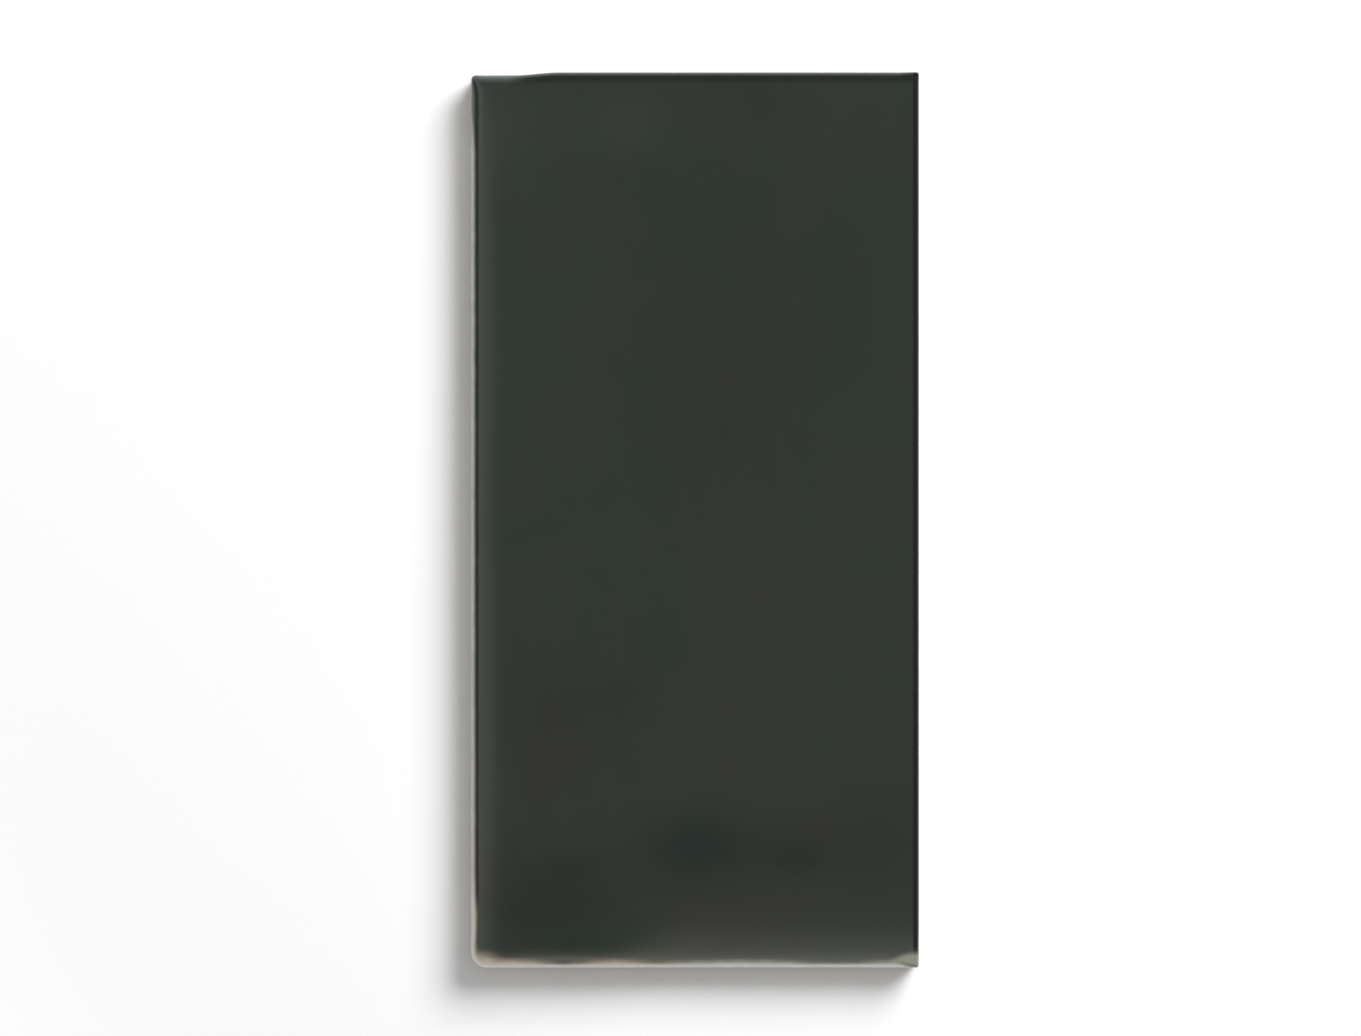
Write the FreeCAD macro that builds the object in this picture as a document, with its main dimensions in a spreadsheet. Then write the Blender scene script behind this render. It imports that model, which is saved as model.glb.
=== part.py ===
"""Pressed and glazed ceramic wall tile with a softly uneven, hand-made looking face.

Millimetres.  The tile lies on its back: +Z is out of the glazed face, +Y runs along its length and
the origin is under its middle, in the plane of the back.  The near edge is the one towards -Y, the
far edge the one towards +Y, and left and right are -X and +X.
"""
import FreeCAD, Part
import math
import os
import Sketcher
from FreeCAD import Vector

SIZES = {
    # the slab
    "width": 75.0,
    "length": 150.0,
    "thickness": 8.5,
    # plan radius of each corner
    "near_left_radius": 2.6,
    "near_right_radius": 0.5,
    "far_right_radius": 0.5,
    "far_left_radius": 0.8,
    # the far edge drops back a little beside its left corner
    "step_depth": 0.5,
    "step_flat": 7.2,
    "step_run": 7.5,
    # how far in from each edge the face starts to fall, and how steeply it falls at the edge;
    # the near edge's fall widens between two distances from the left side
    "near_left_fall_width": 5.0,
    "near_right_fall_width": 13.0,
    "near_widens_from": 21.0,
    "near_widens_to": 38.0,
    "near_slope": 0.15,
    "far_fall_width": 8.0,
    "far_slope": 0.05,
    "left_fall_width": 7.5,
    "left_slope": 0.18,
    "right_fall_width": 8.0,
    "right_slope": 0.04,
    # the slow swell of the face
    "swell": 0.12,
    "swell_pitch": 58.0,
    # rounding where the face meets each side
    "near_arris": 1.8,
    "far_arris": 1.6,
    "left_arris": 1.9,
    "right_arris": 0.9,
    # keying grooves in the back
    "groove_count": 10,
    "groove_depth": 0.5,
    "groove_margin": 6.0,
    "land_width": 4.5,
}
FIRST_CELL_ROW = 1
# how far the face's surface runs past the tile all round, and the blank past it in height
OVERHANG = 2.0
# spacing of the spline knots over the middle of the face
KNOT_STEP = 6.0
SPLINE_DEGREE = 3
# two points nearer than this are the same point
TOUCH = 1e-4
GROOVE_PITCH = ("(dimensions.length - 2 * dimensions.groove_margin + dimensions.land_width)"
                " / dimensions.groove_count")


def make_sheet(document):
    """The driving dimensions, one aliased cell each."""
    sheet = document.addObject("Spreadsheet::Sheet", "dimensions")
    for row, (name, value) in enumerate(SIZES.items(), start=FIRST_CELL_ROW):
        sheet.set(f"A{row}", name)
        sheet.set(f"B{row}", str(value))
        sheet.setAlias(f"B{row}", name)
    document.recompute()
    return sheet


def origin_plane(body, role):
    """One of a body's own origin planes."""
    return next(item for item in body.Origin.OriginFeatures if item.Role == role)


def add_sizes(sketch, sizes):
    """Named distances in a sketch, each tied to the sheet."""
    for kind, name, expression, value, points in sizes:
        index = sketch.addConstraint(Sketcher.Constraint(kind, *points, value))
        sketch.renameConstraint(index, name)
        sketch.setExpression(f"Constraints.{name}", expression)


def outline_sketch(body, sheet):
    """The plan of the tile with its corners still sharp, anticlockwise from the near edge."""
    sketch = body.newObject("Sketcher::SketchObject", "outline")
    sketch.AttachmentSupport = [(origin_plane(body, "XY_Plane"), "")]
    sketch.MapMode = "FlatFace"
    left, right = -sheet.width / 2, sheet.width / 2
    near, far = -sheet.length / 2, sheet.length / 2
    step = sheet.step_depth
    flat_end = left + sheet.step_flat
    step_end = flat_end + sheet.step_run
    bend = (sheet.step_run ** 2 + step ** 2) / (4 * step)
    half_turn = math.asin(sheet.step_run / (2 * bend))
    upper_circle = Part.Circle(Vector(step_end, far - bend, 0), Vector(0, 0, 1), bend)
    lower_circle = Part.Circle(Vector(flat_end, far - step + bend, 0), Vector(0, 0, 1), bend)

    def line(x_from, y_from, x_to, y_to):
        return sketch.addGeometry(Part.LineSegment(Vector(x_from, y_from, 0), Vector(x_to, y_to, 0)))

    near_edge = line(left, near, right, near)
    right_edge = line(right, near, right, far)
    far_edge = line(right, far, step_end, far)
    upper_bend = sketch.addGeometry(
        Part.ArcOfCircle(upper_circle, math.pi / 2, math.pi / 2 + half_turn))
    lower_bend = sketch.addGeometry(
        Part.ArcOfCircle(lower_circle, -math.pi / 2, -math.pi / 2 + half_turn))
    far_left_edge = line(flat_end, far - step, left, far - step)
    left_edge = line(left, far - step, left, near)

    start, end, origin = 1, 2, -1
    joints = [
        ("Coincident", near_edge, end, right_edge, start),
        ("Coincident", right_edge, end, far_edge, start),
        ("Tangent", far_edge, end, upper_bend, start),
        ("Tangent", upper_bend, end, lower_bend, end),
        ("Tangent", lower_bend, start, far_left_edge, start),
        ("Coincident", far_left_edge, end, left_edge, start),
        ("Coincident", left_edge, end, near_edge, start),
        ("Horizontal", near_edge),
        ("Horizontal", far_edge),
        ("Horizontal", far_left_edge),
        ("Vertical", right_edge),
        ("Vertical", left_edge),
        ("Equal", upper_bend, lower_bend),
    ]
    for joint in joints:
        sketch.addConstraint(Sketcher.Constraint(*joint))
    half_width, half_length = "dimensions.width / 2", "dimensions.length / 2"
    sizes = [
        ("DistanceX", "right_place", half_width, right, (origin, start, right_edge, start)),
        ("DistanceX", "left_place", half_width, right, (left_edge, start, origin, start)),
        ("DistanceY", "far_place", half_length, far, (origin, start, far_edge, start)),
        ("DistanceY", "near_place", half_length, far, (near_edge, start, origin, start)),
        ("DistanceY", "step_depth", "dimensions.step_depth", step,
         (far_left_edge, start, far_edge, end)),
        ("DistanceX", "step_run", "dimensions.step_run", sheet.step_run,
         (far_left_edge, start, far_edge, end)),
        ("DistanceX", "step_flat", "dimensions.step_flat", sheet.step_flat,
         (left_edge, start, far_left_edge, start)),
    ]
    add_sizes(sketch, sizes)
    return sketch


def make_blank(document, sheet):
    """The tile's plan raised past its full thickness."""
    body = document.addObject("PartDesign::Body", "blank")
    sketch = outline_sketch(body, sheet)
    pad = body.newObject("PartDesign::Pad", "slab")
    pad.Profile = sketch
    pad.setExpression("Length", f"dimensions.thickness + {OVERHANG}")
    document.recompute()
    return body


def fall(distance, width, slope):
    """How far the face has dropped at a distance in from an edge."""
    if distance >= width:
        return 0.0
    return slope * width / 2 * (1 - distance / width) ** 2


def blend(value, low, high):
    """0 at low and 1 at high, an S-curve between."""
    share = min(max((value - low) / (high - low), 0.0), 1.0)
    return share * share * (3 - 2 * share)


def face_height(sheet, place_x, place_y):
    """Height of the glazed face: a slow swell, falling away towards each edge."""
    turn = 2 * math.pi / sheet.swell_pitch
    swell = math.sin(turn * place_x + 0.6 * math.sin(turn * place_y)) * math.cos(0.8 * turn * place_y)
    half_width, half_length = sheet.width / 2, sheet.length / 2
    widened = blend(place_x + half_width, sheet.near_widens_from, sheet.near_widens_to)
    near_width = sheet.near_left_fall_width * (1 - widened) + sheet.near_right_fall_width * widened
    drop = sheet.swell * (1 - swell) / 2
    drop += fall(place_x + half_width, sheet.left_fall_width, sheet.left_slope)
    drop += fall(half_width - place_x, sheet.right_fall_width, sheet.right_slope)
    drop += fall(place_y + half_length, near_width, sheet.near_slope)
    drop += fall(half_length - place_y, sheet.far_fall_width, sheet.far_slope)
    return sheet.thickness - drop


def knot_line(span, low_width, high_width):
    """Knots along one side, close together where the face falls and even between."""
    low, high = -span / 2, span / 2
    inner_low, inner_high = low + low_width, high - high_width
    count = max(2, round((inner_high - inner_low) / KNOT_STEP))
    middle = [inner_low + (inner_high - inner_low) * step / count for step in range(count + 1)]
    rising = [low - OVERHANG, low - OVERHANG / 2, low + low_width / 4, low + low_width / 2]
    falling = [high - high_width / 2, high - high_width / 4, high + OVERHANG / 2, high + OVERHANG]
    return rising + middle + falling


def pole_places(knots):
    """Where the poles of a clamped spline on these knots stand, so that it runs evenly."""
    full = [knots[0]] * SPLINE_DEGREE + knots + [knots[-1]] * SPLINE_DEGREE
    count = len(full) - SPLINE_DEGREE - 1
    return [sum(full[pole + 1:pole + 1 + SPLINE_DEGREE]) / SPLINE_DEGREE for pole in range(count)]


def make_face_form(document, sheet):
    """A solid whose top is the glazed face, a little wider than the tile."""
    knots_x = knot_line(sheet.width, sheet.left_fall_width, sheet.right_fall_width)
    knots_y = knot_line(sheet.length, sheet.near_right_fall_width, sheet.far_fall_width)
    poles = [[Vector(place_x, place_y, face_height(sheet, place_x, place_y))
              for place_y in pole_places(knots_y)] for place_x in pole_places(knots_x)]

    def multiplicities(knots):
        return [SPLINE_DEGREE + 1] + [1] * (len(knots) - 2) + [SPLINE_DEGREE + 1]

    surface = Part.BSplineSurface()
    surface.buildFromPolesMultsKnots(
        poles, multiplicities(knots_x), multiplicities(knots_y), knots_x, knots_y,
        False, False, SPLINE_DEGREE, SPLINE_DEGREE)
    depth = sheet.thickness + OVERHANG
    form = document.addObject("Part::Feature", "face_form")
    form.Shape = surface.toShape().extrude(Vector(0, 0, -depth))
    return form


def make_formed(document, blank, form):
    """The blank with its face brought down to the uneven one."""
    formed = document.addObject("Part::Common", "formed")
    formed.Base = blank
    formed.Tool = form
    document.recompute()
    return formed


def glazed_face(shape):
    """The glazed face, which is the largest one that looks up."""
    rising = [face for face in shape.Faces if face.normalAt(*face_middle(face)).z > 0.9]
    return max(rising, key=lambda face: face.Area)


def face_middle(face):
    """Surface parameters at the middle of a face."""
    u_low, u_high, v_low, v_high = face.ParameterRange
    return (u_low + u_high) / 2, (v_low + v_high) / 2


def corner_radius(edge, sheet):
    """The plan radius of an upright edge that stands at a corner, or nothing for any other edge."""
    foot, head = edge.Vertexes[0].Point, edge.Vertexes[-1].Point
    upright = abs(foot.x - head.x) + abs(foot.y - head.y) < TOUCH
    at_side = abs(abs(foot.x) - sheet.width / 2) < TOUCH
    if not (upright and at_side):
        return None
    depth = "far" if foot.y > 0 else "near"
    side = "right" if foot.x > 0 else "left"
    return sheet.get(f"{depth}_{side}_radius")


def rim_radius(edge, sheet):
    """The rounding of a rim edge, from the side of the tile that it runs along."""
    middle = edge.CenterOfMass
    if abs(abs(middle.x) - sheet.width / 2) < TOUCH:
        return sheet.right_arris if middle.x > 0 else sheet.left_arris
    return sheet.far_arris if middle.y > 0 else sheet.near_arris


def make_rounded(document, formed, sheet):
    """The four corners and the rim of the glazed face, rounded together."""
    shape = formed.Shape
    rim = glazed_face(shape).OuterWire.Edges
    roundings = []
    for index, edge in enumerate(shape.Edges, start=1):
        radius = corner_radius(edge, sheet)
        if any(edge.isSame(other) for other in rim):
            radius = rim_radius(edge, sheet)
        if radius is not None:
            roundings.append((index, radius, radius))
    rounded = document.addObject("Part::Fillet", "rounded")
    rounded.Base = formed
    rounded.Edges = roundings
    document.recompute()
    return rounded


def groove_width(sheet):
    """Width of one groove, from what the lands and margins leave."""
    pitch = (sheet.length - 2 * sheet.groove_margin + sheet.land_width) / sheet.groove_count
    return pitch - sheet.land_width


def groove_sketch(body, sheet):
    """The first keying groove, a rectangle beside the near edge."""
    sketch = body.newObject("Sketcher::SketchObject", "groove")
    sketch.AttachmentSupport = [(origin_plane(body, "XY_Plane"), "")]
    sketch.MapMode = "FlatFace"
    half_run = sheet.width / 2 - sheet.groove_margin
    near = -sheet.length / 2 + sheet.groove_margin
    far = near + groove_width(sheet)
    corners = [(-half_run, near), (half_run, near), (half_run, far), (-half_run, far)]
    for (x_from, y_from), (x_to, y_to) in zip(corners, corners[1:] + corners[:1]):
        sketch.addGeometry(Part.LineSegment(Vector(x_from, y_from, 0), Vector(x_to, y_to, 0)))
    for side in range(4):
        sketch.addConstraint(Sketcher.Constraint("Coincident", side, 2, (side + 1) % 4, 1))
    for side, kind in enumerate(("Horizontal", "Vertical", "Horizontal", "Vertical")):
        sketch.addConstraint(Sketcher.Constraint(kind, side))
    half_expression = "dimensions.width / 2 - dimensions.groove_margin"
    sizes = [
        ("DistanceX", "right_place", half_expression, half_run, (-1, 1, 1, 1)),
        ("DistanceX", "left_place", half_expression, half_run, (3, 1, -1, 1)),
        ("DistanceY", "near_place", "dimensions.length / 2 - dimensions.groove_margin", -near, (0, 1, -1, 1)),
        ("DistanceY", "groove_width", f"{GROOVE_PITCH} - dimensions.land_width", far - near, (1, 1, 1, 2)),
    ]
    add_sizes(sketch, sizes)
    return sketch


def cut_grooves(document, body, sheet):
    """Shallow grooves across the back, which key the tile into its adhesive."""
    sketch = groove_sketch(body, sheet)
    pocket = body.newObject("PartDesign::Pocket", "first_groove")
    pocket.Profile = sketch
    pocket.Reversed = True
    pocket.setExpression("Length", "dimensions.groove_depth")
    document.recompute()
    pattern = body.newObject("PartDesign::LinearPattern", "grooves")
    pattern.Originals = [pocket]
    pattern.Direction = (sketch, ["V_Axis"])
    pattern.setExpression("Length", f"{GROOVE_PITCH} * (dimensions.groove_count - 1)")
    pattern.setExpression("Occurrences", "dimensions.groove_count")
    body.Tip = pattern
    document.recompute()
    return pattern


def make_tile(document, sheet):
    """The finished tile: formed face, rounded edges and keyed back."""
    formed = make_formed(document, make_blank(document, sheet), make_face_form(document, sheet))
    body = document.addObject("PartDesign::Body", "tile")
    body.BaseFeature = make_rounded(document, formed, sheet)
    document.recompute()
    before = body.Shape.Volume
    cut_grooves(document, body, sheet)
    groove_volume = (sheet.width - 2 * sheet.groove_margin) * groove_width(sheet) * sheet.groove_depth
    cut = before - body.Shape.Volume
    if abs(cut - groove_volume * sheet.groove_count) > 0.01 * cut:
        raise RuntimeError(f"the grooves took out {cut:.1f} cubic millimetres")
    return body


def check(document, part):
    """Every feature built, and the part is one valid solid."""
    for item in document.Objects:
        if "Invalid" in item.State or "Error" in item.State:
            raise RuntimeError(f"{item.Label} is {item.State}")
    if part.Shape.isNull() or not part.Shape.isValid() or len(part.Shape.Solids) != 1:
        raise RuntimeError(f"{part.Label} is not one valid solid")


def main():
    document = FreeCAD.newDocument("wall_tile")
    sheet = make_sheet(document)
    tile = make_tile(document, sheet)
    document.recompute()
    check(document, tile)
    os.makedirs("parts", exist_ok=True)
    tile.Shape.exportStep(f"parts/{tile.Label}.step")
    box = tile.Shape.optimalBoundingBox()
    print(f"{tile.Label}: {box.XLength:.3f} x {box.YLength:.3f} x {box.ZLength:.3f} mm, "
          f"{tile.Shape.Volume:.1f} cubic mm, {len(tile.Shape.Faces)} faces")


main()
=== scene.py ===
"""Looks of a glazed ceramic wall tile: its glaze, its bare fired body, the light and the camera.

Lengths named here are in millimetres, and MM turns them into Blender's metres.  The tile lies on its
back: near is -Y, far is +Y, left is -X and right is +X.
"""
import math

import bpy
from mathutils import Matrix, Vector, noise


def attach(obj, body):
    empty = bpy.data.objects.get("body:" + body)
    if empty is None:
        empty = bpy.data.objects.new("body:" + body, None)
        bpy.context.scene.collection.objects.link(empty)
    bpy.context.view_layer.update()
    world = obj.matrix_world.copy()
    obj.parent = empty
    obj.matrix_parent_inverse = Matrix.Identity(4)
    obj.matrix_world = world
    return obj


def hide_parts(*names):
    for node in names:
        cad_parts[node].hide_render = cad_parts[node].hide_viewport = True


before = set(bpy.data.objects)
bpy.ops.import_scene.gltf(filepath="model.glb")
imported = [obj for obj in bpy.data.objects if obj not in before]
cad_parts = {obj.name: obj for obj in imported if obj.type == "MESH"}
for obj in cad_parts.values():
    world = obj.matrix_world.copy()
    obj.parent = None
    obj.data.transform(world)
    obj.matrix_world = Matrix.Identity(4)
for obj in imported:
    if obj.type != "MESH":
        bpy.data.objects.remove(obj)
MM = 0.001

# shape of the tile, as its construction has it
WIDTH = 75.0
LENGTH = 150.0
THICKNESS = 8.5
CORNER_RADIUS = {("near", "left"): 2.6, ("near", "right"): 0.5,
                 ("far", "right"): 0.5, ("far", "left"): 0.8}
STEP_DEPTH = 0.5
STEP_FLAT = 7.2
STEP_RUN = 7.5
# the step fades out this far in from the far edge
STEP_REACH = 12.0
# width and steepness of the face's fall towards each side; the near one widens between two
# distances from the left side
FALLS = {"far": (8.0, 0.05), "left": (7.5, 0.18), "right": (8.0, 0.04)}
NEAR_FALL_WIDTHS = (5.0, 13.0)
NEAR_WIDENS = (21.0, 38.0)
NEAR_SLOPE = 0.15
SWELL = 0.12
SWELL_PITCH = 58.0
GROOVE_COUNT = 10
GROOVE_DEPTH = 0.5
GROOVE_MARGIN = 6.0
LAND_WIDTH = 4.5

# rounding of the rim on each side, and how far in and up the foot starts
ARRIS = {"near": 1.8, "far": 1.6, "left": 1.9, "right": 0.9}
FOOT_RADIUS = 0.25
# spacing of the mesh: round the rim, growing from it as far as the reach, then even over the middle
ARRIS_STEPS = 7
FINE_STEP = 0.16
STEP_GROWTH = 1.17
FINE_REACH = 7.5
COARSE_STEP = 1.05
WALL_RINGS = 34
GROOVE_WALL = 0.3
# thickness of the glaze where it ends on a side
GLAZE_LIP = 0.12


def smooth(low, high, value):
    """0 at low, 1 at high, an S-curve between."""
    share = min(max((value - low) / (high - low), 0.0), 1.0)
    return share * share * (3 - 2 * share)


def side_steps(arris, reach):
    """Distances in from one edge: close round the arris, then growing until reach."""
    places = [arris * (1 - math.cos(math.pi / 2 * step / ARRIS_STEPS)) for step in range(ARRIS_STEPS + 1)]
    step = FINE_STEP
    while places[-1] + step < reach:
        places.append(places[-1] + step)
        step *= STEP_GROWTH
    return places


def grid_lines(span, low_arris, high_arris, extra=()):
    """Coordinates of the mesh lines across one direction of the tile."""
    low = [-span / 2 + inset for inset in side_steps(low_arris, FINE_REACH)]
    high = [span / 2 - inset for inset in side_steps(high_arris, FINE_REACH)]
    count = round((high[-1] - low[-1]) / COARSE_STEP)
    middle = [low[-1] + (high[-1] - low[-1]) * step / count for step in range(1, count)]
    keep = [place for place in middle if all(abs(place - other) > COARSE_STEP / 3 for other in extra)]
    return sorted(low + high + keep + list(extra))


def groove_edges():
    """Where the keying grooves in the back start and stop along the tile."""
    pitch = (LENGTH - 2 * GROOVE_MARGIN + LAND_WIDTH) / GROOVE_COUNT
    starts = [-LENGTH / 2 + GROOVE_MARGIN + pitch * number for number in range(GROOVE_COUNT)]
    return [(start, start + pitch - LAND_WIDTH) for start in starts]


def groove_lines():
    """Mesh lines at both sides of each groove's walls."""
    return [place for pair in groove_edges() for edge in pair
            for place in (edge - GROOVE_WALL / 2, edge + GROOVE_WALL / 2)]


def corner_at(place_x, place_y):
    """Radius and centre of the corner nearest to a place."""
    radius = CORNER_RADIUS["near" if place_y < 0 else "far", "left" if place_x < 0 else "right"]
    centre_x = math.copysign(WIDTH / 2 - radius, place_x)
    centre_y = math.copysign(LENGTH / 2 - radius, place_y)
    return radius, centre_x, centre_y


def round_corner(place_x, place_y):
    """Move a point of the square-cornered grid into the rounded corner."""
    radius, centre_x, centre_y = corner_at(place_x, place_y)
    across, along = place_x - centre_x, place_y - centre_y
    outside = across * place_x > 0 and along * place_y > 0
    if not outside:
        return place_x, place_y
    shrink = max(abs(across), abs(along)) / math.hypot(across, along)
    return centre_x + across * shrink, centre_y + along * shrink


def inset_at(place_x, place_y):
    """Distance in from the rounded outline."""
    radius, centre_x, centre_y = corner_at(place_x, place_y)
    across = abs(place_x) - abs(centre_x)
    along = abs(place_y) - abs(centre_y)
    if across > 0 and along > 0:
        return radius - math.hypot(across, along)
    return radius - max(across, along)


def edge_distances(place_x, place_y):
    """Distance in from each of the four straight sides."""
    return {"near": place_y + LENGTH / 2, "far": LENGTH / 2 - place_y,
            "left": place_x + WIDTH / 2, "right": WIDTH / 2 - place_x}


def side_blend(values, gaps, softness):
    """One value out of four, one for each side, blended by how close each side is."""
    weights = {side: 1 / (softness + max(gap, 0.0)) ** 3 for side, gap in gaps.items()}
    return sum(values[side] * weight for side, weight in weights.items()) / sum(weights.values())


def arris_at(place_x, place_y):
    """Rounding of the rim there, blended from the sides that are close."""
    blended = side_blend(ARRIS, edge_distances(place_x, place_y), 0.3)
    return min(blended, corner_limit(place_x, place_y))


def corner_limit(place_x, place_y):
    """The rim's rounding shrinks to fit into a tight corner."""
    radius = corner_at(place_x, place_y)[0]
    gap = math.hypot(WIDTH / 2 - abs(place_x), LENGTH / 2 - abs(place_y))
    return 0.9 * radius + 0.35 * gap


def fall(gap, width, slope):
    """How far the face has dropped at a distance in from a side."""
    return slope * width / 2 * (1 - gap / width) ** 2 if gap < width else 0.0


def face_height(place_x, place_y):
    """Height of the glazed face before its rim is rounded."""
    turn = 2 * math.pi / SWELL_PITCH
    swell = math.sin(turn * place_x + 0.6 * math.sin(turn * place_y)) * math.cos(0.8 * turn * place_y)
    drop = SWELL * (1 - swell) / 2
    gaps = edge_distances(place_x, place_y)
    widened = smooth(*NEAR_WIDENS, gaps["left"])
    near_width = NEAR_FALL_WIDTHS[0] * (1 - widened) + NEAR_FALL_WIDTHS[1] * widened
    drop += fall(gaps["near"], near_width, NEAR_SLOPE)
    drop += sum(fall(gaps[side], width, slope) for side, (width, slope) in FALLS.items())
    return THICKNESS - drop


def rim_drop(inset, arris):
    """How far the rounded rim has come down at a distance in from the outline."""
    if inset >= arris:
        return 0.0
    return arris - math.sqrt(max(arris ** 2 - (arris - inset) ** 2, 0.0))


def step_back(place_x, place_y):
    """How far the outline's far-left stretch drops back."""
    from_left = place_x + WIDTH / 2
    amount = STEP_DEPTH * (1 - smooth(STEP_FLAT, STEP_FLAT + STEP_RUN, from_left))
    return amount * smooth(LENGTH / 2 - STEP_REACH, LENGTH / 2, place_y)


def back_height(place_x, place_y):
    """How far the back is cut away: the depth of a keying groove, or nothing on a land."""
    half_wall = GROOVE_WALL / 2
    half_run = WIDTH / 2 - GROOVE_MARGIN
    across = 1 - smooth(half_run - half_wall, half_run + half_wall, abs(place_x))
    depth = 0.0
    for start, stop in groove_edges():
        rise = smooth(start - half_wall, start + half_wall, place_y)
        rise *= 1 - smooth(stop - half_wall, stop + half_wall, place_y)
        depth = max(depth, rise)
    return GROOVE_DEPTH * depth * across


def perimeter(count_x, count_y):
    """Grid indices round the edge, anticlockwise from the near left corner."""
    near = [(column, 0) for column in range(count_x - 1)]
    right = [(count_x - 1, row) for row in range(count_y - 1)]
    far = [(column, count_y - 1) for column in range(count_x - 1, 0, -1)]
    left = [(0, row) for row in range(count_y - 1, 0, -1)]
    return near + right + far + left


# how far down each side the glaze runs before the bare body shows
GLAZE_RUN = {"near": 0.0, "far": 3.2, "left": 0.4, "right": 2.6}
# how far in the bare body reaches from the near and left rims, and the width it fades over
NEAR_REACH = 2.05
NEAR_REACH_LOST_AT_RIGHT = 1.3
NEAR_FADE = 1.8
NEAR_FADE_AT_LEFT = 0.9
LEFT_REACH = 0.88
LEFT_REACH_ADDED_AT_NEAR = 0.06
LEFT_FADE = 1.05
# how bare the left rim is at most, and what is added beside the near corner
LEFT_BARENESS = 0.65
LEFT_BARENESS_ADDED_AT_NEAR = 0.25
# how fast the fade sets in on each rim: 1 is even, more starts slower
NEAR_ONSET = 2.1
LEFT_ONSET = 1.0


def uneven(place_x, place_y, turns, layer):
    """A number of about -1 to 1 that wanders over the tile, with so many lumps to the millimetre."""
    return noise.noise(Vector((place_x * turns, place_y * turns, layer)))


def glaze_stop(place_x, place_y):
    """How far down the side the glaze runs before the bare body shows."""
    run = side_blend(GLAZE_RUN, edge_distances(place_x, place_y), 0.8)
    wander = 0.35 * uneven(place_x, place_y, 0.09, 4.0)
    ripple = 0.06 * uneven(place_x, place_y, 0.5, 9.0)
    return run * (1 + wander + ripple)


# stretches where the glaze has drawn back further from an edge, or less far:
# middle, half length, extra
NEAR_LOBES = ((-37.0, 3.0, 1.20), (-31.0, 6.5, 0.20), (-22.0, 4.2, -0.30), (-14.0, 5.0, 0.15),
              (-6.0, 3.5, -0.12), (9.0, 9.0, 0.1), (23.0, 6.0, -0.2))
LEFT_LOBES = ((-66.5, 4.0, 0.30), (-50.0, 14.0, 0.04))
# the pale patch inside the near left corner: middle, half sizes, strength
CORNER_PATCH = (-35.2, -73.1, 2.6, 1.0, 0.24)
# broad patches of the face that are lighter or darker: middle, half sizes, strength
TONE_PATCHES = ((-12.0, 66.0, 7.0, 5.0, 0.16), (-32.0, 66.0, 7.0, 9.0, 0.16),
                (4.0, 32.0, 16.0, 30.0, -0.10), (1.0, -56.0, 11.0, 7.0, -0.18),
                (-24.0, -64.0, 14.0, 9.0, -0.26), (17.0, -55.0, 9.0, 5.0, -0.14),
                (-24.0, -32.0, 14.0, 12.0, -0.10), (31.0, -54.0, 9.0, 8.0, -0.14),
                (27.0, 40.0, 10.0, 24.0, -0.04))
# broad patches where the glaze is browner, and small ones where it is bluer
WARM_PATCHES = ((-22.0, -42.0, 24.0, 26.0, 0.8), (18.0, -60.0, 26.0, 16.0, 0.8),
                (8.0, -4.0, 9.0, 40.0, 0.75), (12.0, 70.0, 22.0, 7.0, 0.6),
                (-16.0, 22.0, 5.0, 13.0, 0.5), (-26.0, 46.0, 4.0, 5.0, 0.4),
                (-34.0, 68.0, 7.0, 9.0, 0.4))
TEAL_PATCHES = ((0.0, -54.0, 7.5, 4.5, 0.9), (17.0, -57.0, 4.0, 2.5, 0.6),
                (-20.0, -57.5, 5.0, 2.0, 0.5), (-20.0, -71.0, 9.0, 2.0, 0.5),
                (-6.0, -20.0, 5.0, 6.0, 0.3))


def lobes_at(lobes, place):
    """Sum of the lobes' humps at a place along an edge."""
    return sum(extra * math.exp(-((place - middle) / half) ** 2) for middle, half, extra in lobes)


def bare_reach(place_x, place_y, gaps):
    """How far in the bare body reaches there, from the near rim and from the left one."""
    ripple = 0.08 * uneven(place_x, place_y, 0.35, 1.0)
    near = NEAR_REACH + lobes_at(NEAR_LOBES, place_x) + ripple
    near -= NEAR_REACH_LOST_AT_RIGHT * (1 - smooth(0.5, 4.0, gaps["right"]))
    left = LEFT_REACH + LEFT_REACH_ADDED_AT_NEAR * (1 - smooth(-60.0, -20.0, place_y))
    left += lobes_at(LEFT_LOBES, place_y) + ripple
    return near, left * (1 - smooth(60.0, 74.0, place_y))


def rim_bareness(place_x, place_y):
    """How bare the near and left rims are: 0 is full glaze, 1 the body alone."""
    gaps = edge_distances(place_x, place_y)
    near_weight = 1 / (0.5 + max(gaps["near"], 0.0)) ** 2
    left_weight = 1 / (0.5 + max(gaps["left"], 0.0)) ** 2
    to_near = near_weight / (near_weight + left_weight)

    def blend(near, left):
        return near * to_near + left * (1 - to_near)

    reach = blend(*bare_reach(place_x, place_y, gaps))
    near_fade = NEAR_FADE + NEAR_FADE_AT_LEFT * math.exp(-((gaps["left"] - 0.5) / 3.5) ** 2)
    inset = max(inset_at(place_x, place_y), 0.0)
    share = min(max((reach - inset) / blend(near_fade, LEFT_FADE), 0.0), 1.0)
    left_most = LEFT_BARENESS + LEFT_BARENESS_ADDED_AT_NEAR * (1 - smooth(-68.0, -60.0, place_y))
    hold = 1 - smooth(3.0, 5.0, min(gaps["near"], gaps["left"]))
    rim = share ** blend(NEAR_ONSET, LEFT_ONSET) * hold * blend(1.0, left_most)
    return min(rim + patches_at([CORNER_PATCH], place_x, place_y), 1.0)


def bareness(place_x, place_y, depth):
    """0 under full glaze, rising to 1 where it has drawn off the rim and the body shows."""
    stop = glaze_stop(place_x, place_y)
    side = smooth(stop - 0.1, stop + 0.25, depth) if depth > 0 else 0.0
    return max(rim_bareness(place_x, place_y), side)


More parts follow.
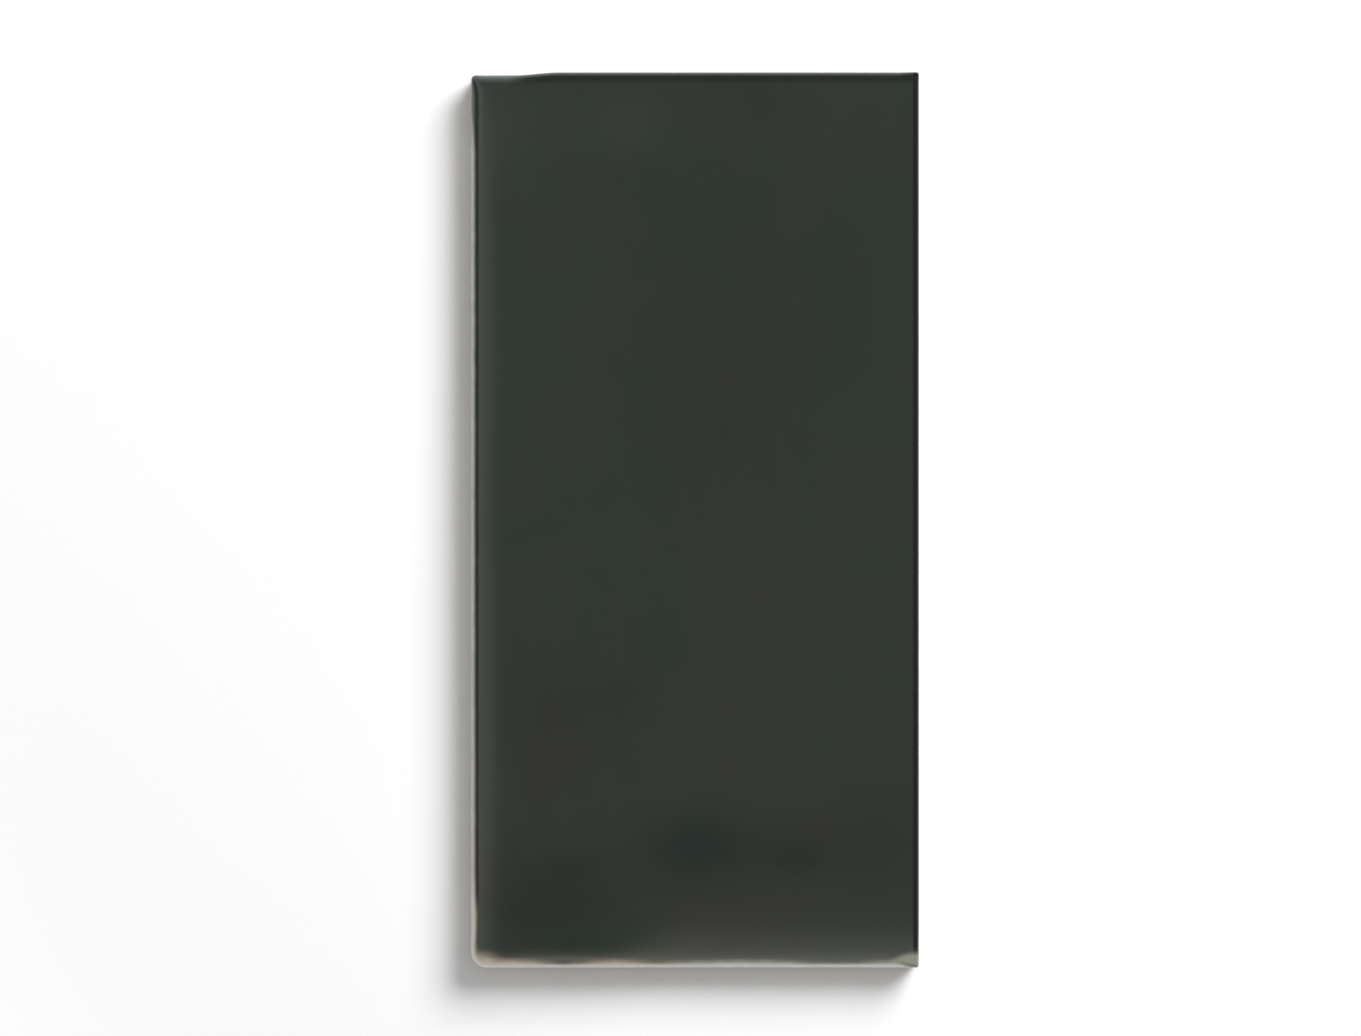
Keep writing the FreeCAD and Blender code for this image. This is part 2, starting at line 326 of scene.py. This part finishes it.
def pale_rim_line(place_x, place_y):
    """Where the outermost rim of the near and left sides turns to a thin, nearly white line."""
    gaps = edge_distances(place_x, place_y)
    inset = max(inset_at(place_x, place_y), 0.0)
    reach = 0.7 + 0.25 * smooth(0.0, 4.0, gaps["near"])
    line_share = 1 - smooth(0.3 * reach, reach, inset)
    line_share *= 1 - smooth(1.5, 3.0, min(gaps["near"], gaps["left"]))
    line_share *= 1 - smooth(64.0, 73.0, place_y)
    return line_share * smooth(0.2, 3.0, gaps["right"])


def clayness(place_x, place_y, depth):
    """Where the body has no pale skin: down the sides, and in part along the left rim."""
    gaps = edge_distances(place_x, place_y)
    left = 0.3 * (1 - smooth(0.6, 1.2, gaps["left"])) * smooth(1.0, 5.0, gaps["near"])
    return max(smooth(0.1, 1.2, depth), left)


def thinness(place_x, place_y):
    """Where the glaze thins and turns brown towards the near rim."""
    gap = edge_distances(place_x, place_y)["near"]
    return 0.55 * (1 - smooth(1.3, 3.3, gap))


def rim_shade(place_x, place_y):
    """Painted shade: where the colour is darkened just inside the far and right rims."""
    gaps = edge_distances(place_x, place_y)
    far_start = smooth(STEP_FLAT - 2.0, STEP_FLAT + 5.0, place_x + WIDTH / 2)
    far = far_start * (1 - smooth(1.3, 2.1, gaps["far"])) * smooth(0.1, 0.9, gaps["far"])
    right = (1 - smooth(0.8, 1.25, gaps["right"])) * smooth(2.2, 4.0, gaps["near"])
    return max(0.7 * far, right)


def milk_and_reflection(place_x, place_y):
    """A painted reflection, pale grey, on the far rim's left end, and cloudy thin glaze at the near right
    corner.
    """
    gaps = edge_distances(place_x, place_y)
    far = (1 - smooth(0.2, 1.6, gaps["far"])) * (1 - smooth(STEP_FLAT - 1.5, STEP_FLAT + 2.0, gaps["left"]))
    limit = 0.9 + 1.6 * (1 - smooth(1.0, 6.5, gaps["right"]))
    corner = (1 - smooth(limit - 0.7, limit + 0.5, gaps["near"])) * (1 - smooth(4.5, 8.0, gaps["right"]))
    return max(0.5 * far, corner)


def patches_at(patches, place_x, place_y):
    """Sum of the patches' humps at a place on the face."""
    total = 0.0
    for middle_x, middle_y, half_x, half_y, strength in patches:
        away = ((place_x - middle_x) / half_x) ** 2 + ((place_y - middle_y) / half_y) ** 2
        total += strength * math.exp(-away)
    return total


# what the material reads at each point, worked out from its place in the plan and its depth below
# the rim
LAYERS = {
    "bare": bareness,
    "rim_line": lambda place_x, place_y, depth: pale_rim_line(place_x, place_y),
    "clay": clayness,
    "thin": lambda place_x, place_y, depth: thinness(place_x, place_y),
    "shade": lambda place_x, place_y, depth: rim_shade(place_x, place_y),
    "milk_and_highlight": lambda place_x, place_y, depth: milk_and_reflection(place_x, place_y),
    "tone": lambda place_x, place_y, depth: 1 + patches_at(TONE_PATCHES, place_x, place_y),
    "warm": lambda place_x, place_y, depth: patches_at(WARM_PATCHES, place_x, place_y),
    "teal": lambda place_x, place_y, depth: patches_at(TEAL_PATCHES, place_x, place_y),
}


def sheet_faces(start, count_x, count_y, downward):
    """Quads over a grid of points whose first index is start."""
    faces = []
    for row in range(count_y - 1):
        for column in range(count_x - 1):
            first = start + row * count_x + column
            above = first + count_x
            if downward:
                faces.append((first, above, above + 1, first + 1))
            else:
                faces.append((first, first + 1, above + 1, above))
    return faces


def band_faces(above, below):
    """Quads between two closed loops of point indices."""
    total = len(above)
    return [(above[index], below[index], below[(index + 1) % total], above[(index + 1) % total])
            for index in range(total)]


def face_points(lines_x, lines_y):
    """Points of the glazed face, with the place in the plan that each one is marked by."""
    points, marks = [], []
    for place_y in lines_y:
        for place_x in lines_x:
            plan_x, plan_y = round_corner(place_x, place_y)
            inset = inset_at(plan_x, plan_y)
            height = face_height(plan_x, plan_y) - rim_drop(inset, arris_at(plan_x, plan_y))
            points.append((plan_x, plan_y - step_back(plan_x, plan_y), height))
            marks.append((plan_x, plan_y, 0.0))
    return points, marks


def ring_points(rim, share):
    """A ring round the sides, a share of the way from the rim to the foot."""
    points, marks = [], []
    for index, (rim_x, rim_y, rim_z) in enumerate(rim):
        before, after = rim[index - 1], rim[(index + 1) % len(rim)]
        out = Vector((after[1] - before[1], before[0] - after[0])).normalized()
        height = FOOT_RADIUS + (rim_z - FOOT_RADIUS) * (1 - share)
        depth = rim_z - height
        stop = glaze_stop(rim_x, rim_y)
        back = GLAZE_LIP * smooth(stop - 0.25, stop + 0.3, depth)
        points.append((rim_x - out.x * back, rim_y - out.y * back, height))
        marks.append((rim_x, rim_y, depth))
    return points, marks


def back_points(top, lines_x, lines_y):
    """Points of the back, each under a point of the face."""
    shrink_x = (WIDTH - 2 * FOOT_RADIUS) / WIDTH
    shrink_y = (LENGTH - 2 * FOOT_RADIUS) / LENGTH
    places = [(place_x, place_y) for place_y in lines_y for place_x in lines_x]
    points = [(top_x * shrink_x, top_y * shrink_y, back_height(*place))
              for (top_x, top_y, _), place in zip(top, places)]
    return points, [(top_x, top_y, THICKNESS) for top_x, top_y, _ in top]


def make_tile():
    """The whole tile as one closed mesh: face, sides and back, with a value of each layer a point."""
    edge_x = [math.copysign(WIDTH / 2 - GROOVE_MARGIN, sign) + shift
              for sign in (-1, 1) for shift in (-GROOVE_WALL / 2, GROOVE_WALL / 2)]
    lines_x = grid_lines(WIDTH, ARRIS["left"], ARRIS["right"], edge_x)
    lines_y = grid_lines(LENGTH, ARRIS["near"], ARRIS["far"], groove_lines())
    count_x, count_y = len(lines_x), len(lines_y)

    top, marks = face_points(lines_x, lines_y)
    points = list(top)
    faces = sheet_faces(0, count_x, count_y, downward=False)

    loop = [row * count_x + column for column, row in perimeter(count_x, count_y)]
    rim = [top[index] for index in loop]
    above = loop
    for ring in range(1, WALL_RINGS + 1):
        below = list(range(len(points), len(points) + len(rim)))
        ring_places, ring_marks = ring_points(rim, ring / WALL_RINGS)
        points += ring_places
        marks += ring_marks
        faces += band_faces(above, below)
        above = below

    start = len(points)
    back_places, back_marks = back_points(top, lines_x, lines_y)
    points += back_places
    marks += back_marks
    faces += sheet_faces(start, count_x, count_y, downward=True)
    faces += band_faces(above, [start + index for index in loop])

    mesh = bpy.data.meshes.new("glazed_tile")
    mesh.from_pydata([(x * MM, y * MM, z * MM) for x, y, z in points], [], faces)
    mesh.validate()
    for name, value_at in LAYERS.items():
        values = [value_at(*mark) for mark in marks]
        mesh.attributes.new(name, "FLOAT", "POINT").data.foreach_set("value", values)
    mesh.polygons.foreach_set("use_smooth", [True] * len(mesh.polygons))
    piece = bpy.data.objects.new("glazed_tile", mesh)
    bpy.context.collection.objects.link(piece)
    return piece


class Nodes:
    """Short calls for building a node tree."""

    def __init__(self, material):
        material.use_nodes = True
        self.tree = material.node_tree
        self.shader = self.tree.nodes["Principled BSDF"]
        self.place = self.add("ShaderNodeTexCoord").outputs["Object"]

    def add(self, kind, **settings):
        """A new node with its settings."""
        node = self.tree.nodes.new(kind)
        for name, value in settings.items():
            setattr(node, name, value)
        return node

    def put(self, socket, value):
        """Set a socket to a number or colour, or join it to another socket."""
        if isinstance(value, bpy.types.NodeSocket):
            self.tree.links.new(value, socket)
        elif isinstance(value, tuple) and len(value) == 3 and socket.type == "RGBA":
            socket.default_value = (*value, 1.0)
        else:
            socket.default_value = value

    def attribute(self, name):
        """One of the layers that the mesh carries."""
        return self.add("ShaderNodeAttribute", attribute_name=name).outputs["Fac"]

    def math(self, operation, first, second, clamp=False):
        """The result of an operation on two values."""
        node = self.add("ShaderNodeMath", operation=operation, use_clamp=clamp)
        self.put(node.inputs[0], first)
        self.put(node.inputs[1], second)
        return node.outputs[0]

    def span(self, value, low, high, to_low=0.0, to_high=1.0):
        """Value remapped from low..high, smoothly and clamped."""
        node = self.add("ShaderNodeMapRange", interpolation_type="SMOOTHSTEP")
        for name, number in (("Value", value), ("From Min", low), ("From Max", high),
                             ("To Min", to_low), ("To Max", to_high)):
            self.put(node.inputs[name], number)
        return node.outputs["Result"]

    def stretched(self, scale_x, scale_y, scale_z, shift=0.0):
        """Object coordinates scaled along each axis."""
        node = self.add("ShaderNodeMapping")
        self.put(node.inputs["Vector"], self.place)
        node.inputs["Location"].default_value = (shift, shift, shift)
        node.inputs["Scale"].default_value = (scale_x, scale_y, scale_z)
        return node.outputs["Vector"]

    def noise(self, size, detail=2.0, roughness=0.5, stretch=(1.0, 1.0, 1.0), shift=0.0):
        """Noise whose lumps are about size millimetres across."""
        node = self.add("ShaderNodeTexNoise")
        scale = 1 / (size * MM)
        self.put(node.inputs["Vector"], self.stretched(*(scale / axis for axis in stretch), shift))
        node.inputs["Scale"].default_value = 1.0
        node.inputs["Detail"].default_value = detail
        node.inputs["Roughness"].default_value = roughness
        return node.outputs["Fac"]

    def axis(self, name):
        """One of the object coordinates."""
        node = self.add("ShaderNodeSeparateXYZ")
        self.put(node.inputs[0], self.place)
        return node.outputs[name]

    def mix(self, share, first, second):
        """A share of the second colour over the first."""
        node = self.add("ShaderNodeMix", data_type="RGBA")
        self.put(node.inputs["Factor"], share)
        self.put(node.inputs["A"], first)
        self.put(node.inputs["B"], second)
        return node.outputs["Result"]

    def bump(self, height, distance):
        """Relief of height 0..1 times a distance in millimetres."""
        node = self.add("ShaderNodeBump")
        self.put(node.inputs["Height"], height)
        node.inputs["Distance"].default_value = distance * MM
        return node.outputs["Normal"]


# colours of the glaze: over the face, painted shade inside the far and right rims, a painted reflection on
# the far rim's left end and cloudy thin glaze at the near right corner, and thin at the left and the right
GREEN_BLACK = (0.0255, 0.0340, 0.0250)
BROWN_BLACK = (0.0295, 0.0320, 0.0270)
TEAL_BLACK = (0.0175, 0.0275, 0.0225)
# painted shade: near black just inside the far and right rims
RIM_SHADE_BLACK = (0.0105, 0.0130, 0.0100)
# painted reflection: pale grey on the far rim's left end
REFLECTED_GREY = (0.150, 0.175, 0.170)
MILKY_KHAKI = (0.240, 0.240, 0.185)
THIN_BROWN = (0.075, 0.066, 0.046)
THIN_OLIVE = (0.066, 0.068, 0.050)
# colours of the body: near rim at the left and the right, the thin pale line on the outermost rim, and
# sides
PINK_BODY = (0.80, 0.710, 0.580)
PALE_BODY = (0.78, 0.780, 0.640)
RIM_LINE_WHITE = (0.92, 0.910, 0.890)
CLAY = (0.50, 0.455, 0.400)
CLAY_SPECK = (0.45, 0.405, 0.350)
# the near rim turns from brown and pink to olive and pale between these places across the tile
RIM_TURNS = (-6.0, 0.0)
GLAZE_ROUGHNESS = 0.21
BODY_ROUGHNESS = 0.85
# size of the glaze's dimples and their depth
PEEL_SIZE = 2.2
PEEL_DEPTH = 0.012


def glaze_colour(nodes):
    """Dark glaze, drifting between green-black and brown-black over the face, with painted shade just
    inside the far and right rims.
    """
    drift = nodes.math("SUBTRACT", nodes.noise(15.0, 3.0, 0.55, stretch=(1.0, 1.4, 1.0)), 0.5)
    warmth = nodes.math("ADD", nodes.attribute("warm"), nodes.math("MULTIPLY", drift, 2.2))
    colour = nodes.mix(nodes.span(warmth, 0.0, 0.8), GREEN_BLACK, BROWN_BLACK)
    pools = nodes.span(nodes.noise(14.0, 2.0, 0.5, stretch=(1.3, 1.0, 1.0), shift=7.0), 0.55, 0.9, 0.0, 0.5)
    colour = nodes.mix(nodes.math("MAXIMUM", pools, nodes.attribute("teal")), colour, TEAL_BLACK)
    toned = nodes.add("ShaderNodeVectorMath", operation="SCALE")
    nodes.put(toned.inputs[0], colour)
    nodes.put(toned.inputs["Scale"], nodes.attribute("tone"))
    # painted shade darkens the glaze just inside the far and right rims
    return nodes.mix(nodes.attribute("shade"), toned.outputs[0], RIM_SHADE_BLACK)


def make_material():
    """Glaze over a pale fired body, which shows where the glaze has drawn off the rim."""
    material = bpy.data.materials.new("glaze")
    nodes = Nodes(material)
    to_right = nodes.span(nodes.axis("X"), *(place * MM for place in RIM_TURNS))
    thin = nodes.mix(to_right, THIN_BROWN, THIN_OLIVE)
    body = nodes.mix(to_right, PINK_BODY, PALE_BODY)
    # painted reflection in pale grey towards the far end, cloudy khaki thin glaze towards the near end
    milky_and_reflected = nodes.mix(nodes.span(nodes.axis("Y"), 0.0, 0.01), MILKY_KHAKI, REFLECTED_GREY)
    crumble = nodes.math("MULTIPLY", nodes.math("SUBTRACT", nodes.noise(2.4, 3.0, 0.6), 0.5), 0.14)
    even = nodes.attribute("bare")
    crumbled = nodes.math("MULTIPLY", crumble, nodes.span(even, 0.02, 0.3))
    bare = nodes.math("ADD", even, crumbled, clamp=True)
    thinned = nodes.math("MAXIMUM", nodes.span(bare, 0.0, 0.2), nodes.attribute("thin"))
    colour = nodes.mix(thinned, glaze_colour(nodes), thin)
    # painted reflection on the far rim's left end, and cloudy thin glaze at the near right corner
    colour = nodes.mix(nodes.attribute("milk_and_highlight"), colour, milky_and_reflected)
    colour = nodes.mix(nodes.span(bare, 0.02, 0.85), colour, body)
    # a thin, nearly white line along the outermost near and left rims
    colour = nodes.mix(nodes.math("MULTIPLY", nodes.attribute("rim_line"), bare), colour, RIM_LINE_WHITE)
    grain = nodes.span(nodes.noise(1.8, 4.0, 0.6), 0.35, 0.7)
    clay = nodes.mix(grain, CLAY, CLAY_SPECK)
    colour = nodes.mix(nodes.math("MULTIPLY", nodes.attribute("clay"), bare), colour, clay)
    nodes.put(nodes.shader.inputs["Base Color"], colour)
    roughness = nodes.span(bare, 0.4, 0.9, GLAZE_ROUGHNESS, BODY_ROUGHNESS)
    nodes.put(nodes.shader.inputs["Roughness"], roughness)
    orange_peel = nodes.bump(nodes.noise(PEEL_SIZE, 2.0, 0.5), PEEL_DEPTH)
    nodes.put(nodes.shader.inputs["Normal"], orange_peel)
    return material


# metres: half the floor's side, and the distances between which it fades to white
FLOOR_HALF = 3.0
FLOOR_FADES = (0.105, 0.165)
FLOOR_COLOUR = (0.96, 0.96, 0.96, 1)


def make_floor():
    """A pale floor that takes the tile's shadow and fades to plain white far from it."""
    mesh = bpy.data.meshes.new("floor")
    half = FLOOR_HALF
    corners = [(-half, -half, 0), (half, -half, 0), (half, half, 0), (-half, half, 0)]
    mesh.from_pydata(corners, [], [(0, 1, 2, 3)])
    floor = bpy.data.objects.new("floor", mesh)
    bpy.context.collection.objects.link(floor)
    material = bpy.data.materials.new("floor")
    nodes = Nodes(material)
    nodes.shader.inputs["Base Color"].default_value = FLOOR_COLOUR
    nodes.shader.inputs["Roughness"].default_value = 1.0
    nodes.shader.inputs["Specular IOR Level"].default_value = 0.0
    away = nodes.add("ShaderNodeVectorMath", operation="LENGTH")
    nodes.put(away.inputs[0], nodes.place)
    rays = nodes.add("ShaderNodeLightPath").outputs
    through = nodes.math("MAXIMUM", rays["Is Glossy Ray"], rays["Is Transmission Ray"])
    seen = nodes.math("MAXIMUM", rays["Is Camera Ray"], through)
    share = nodes.math("MULTIPLY", nodes.span(away.outputs["Value"], *FLOOR_FADES), seen)
    white = nodes.add("ShaderNodeEmission")
    both = nodes.add("ShaderNodeMixShader")
    nodes.put(both.inputs[0], share)
    nodes.put(both.inputs[1], nodes.shader.outputs[0])
    nodes.put(both.inputs[2], white.outputs[0])
    nodes.put(nodes.tree.nodes["Material Output"].inputs["Surface"], both.outputs[0])
    mesh.materials.append(material)
    return floor


# metres between every lamp and the tile
LAMP_DISTANCE = 1.6
# name, direction, size in metres, power in watts, and whether glossy surfaces see it or matt ones
LAMPS = (
    ("key", (0.76, 0.88, 1.0), 1.0, 29.6, "matt"),
    ("overhead", (0.05, 0.05, 1.0), 2.2, 8.5, "matt"),
    ("near_fill", (0.0, -1.0, 0.36), 1.0, 1.9, "matt"),
    ("left_fill", (-1.0, 0.0, 0.36), 1.0, 2.5, "matt"),
    ("far_left_box", (-0.80, 0.72, 0.50), 0.8, 0.7, "glossy"),
    ("near_right_box", (0.72, -0.80, 0.32), 0.7, 0.4, "glossy"),
    ("left_box", (-0.72, -0.08, 1.0), 1.3, 3.7, "glossy"),
    ("near_box", (0.08, -0.80, 1.0), 1.3, 5.0, "glossy"),
)


def make_lamp(name, direction, size, power, surfaces):
    """A disc lamp that looks at the tile, seen by matt surfaces or by glossy ones."""
    lamp = bpy.data.lights.new(name, "AREA")
    lamp.shape = "DISK"
    lamp.size = size
    lamp.energy = power
    holder = bpy.data.objects.new(name, lamp)
    bpy.context.collection.objects.link(holder)
    toward = Vector(direction).normalized()
    holder.location = toward * LAMP_DISTANCE
    holder.rotation_euler = toward.to_track_quat("Z", "Y").to_euler()
    holder.visible_glossy = surfaces == "glossy"
    holder.visible_diffuse = surfaces == "matt"
    holder.visible_camera = False


DIM_GREY = (0.10, 0.10, 0.10, 1)
WHITE = (1, 1, 1, 1)


def make_world():
    """Plain white to the camera, directly or through glass, and a dim grey light to all else."""
    world = bpy.data.worlds.new("studio")
    bpy.context.scene.world = world
    world.use_nodes = True
    nodes, links = world.node_tree.nodes, world.node_tree.links
    rays = nodes.new("ShaderNodeLightPath")
    seen = nodes.new("ShaderNodeMath")
    seen.operation = "MAXIMUM"
    links.new(rays.outputs["Is Camera Ray"], seen.inputs[0])
    links.new(rays.outputs["Is Transmission Ray"], seen.inputs[1])
    mix = nodes.new("ShaderNodeMix")
    mix.data_type = "RGBA"
    mix.inputs["A"].default_value = DIM_GREY
    mix.inputs["B"].default_value = WHITE
    links.new(seen.outputs[0], mix.inputs["Factor"])
    links.new(mix.outputs["Result"], nodes["Background"].inputs["Color"])


CAMERA_LENS = 200.0
CAMERA_SENSOR = 36.0
# the width that the camera takes in at the height of the tile's rim, and where its middle lies
VIEW_WIDTH = 227.86
VIEW_HEIGHT = 7.6
VIEW_MIDDLE = (-2.43, 0.33)


def make_camera():
    """A long lens straight above the tile."""
    camera = bpy.data.cameras.new("camera")
    camera.lens = CAMERA_LENS
    camera.sensor_width = CAMERA_SENSOR
    holder = bpy.data.objects.new("camera", camera)
    bpy.context.collection.objects.link(holder)
    distance = VIEW_WIDTH * CAMERA_LENS / CAMERA_SENSOR
    holder.location = (VIEW_MIDDLE[0] * MM, VIEW_MIDDLE[1] * MM, (distance + VIEW_HEIGHT) * MM)
    bpy.context.scene.camera = holder


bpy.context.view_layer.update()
tile = make_tile()
tile.data.materials.append(make_material())
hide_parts("tile")
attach(tile, "root")
make_floor()
for lamp in LAMPS:
    make_lamp(*lamp)
make_world()
make_camera()
bpy.context.scene.view_settings.view_transform = "Standard"
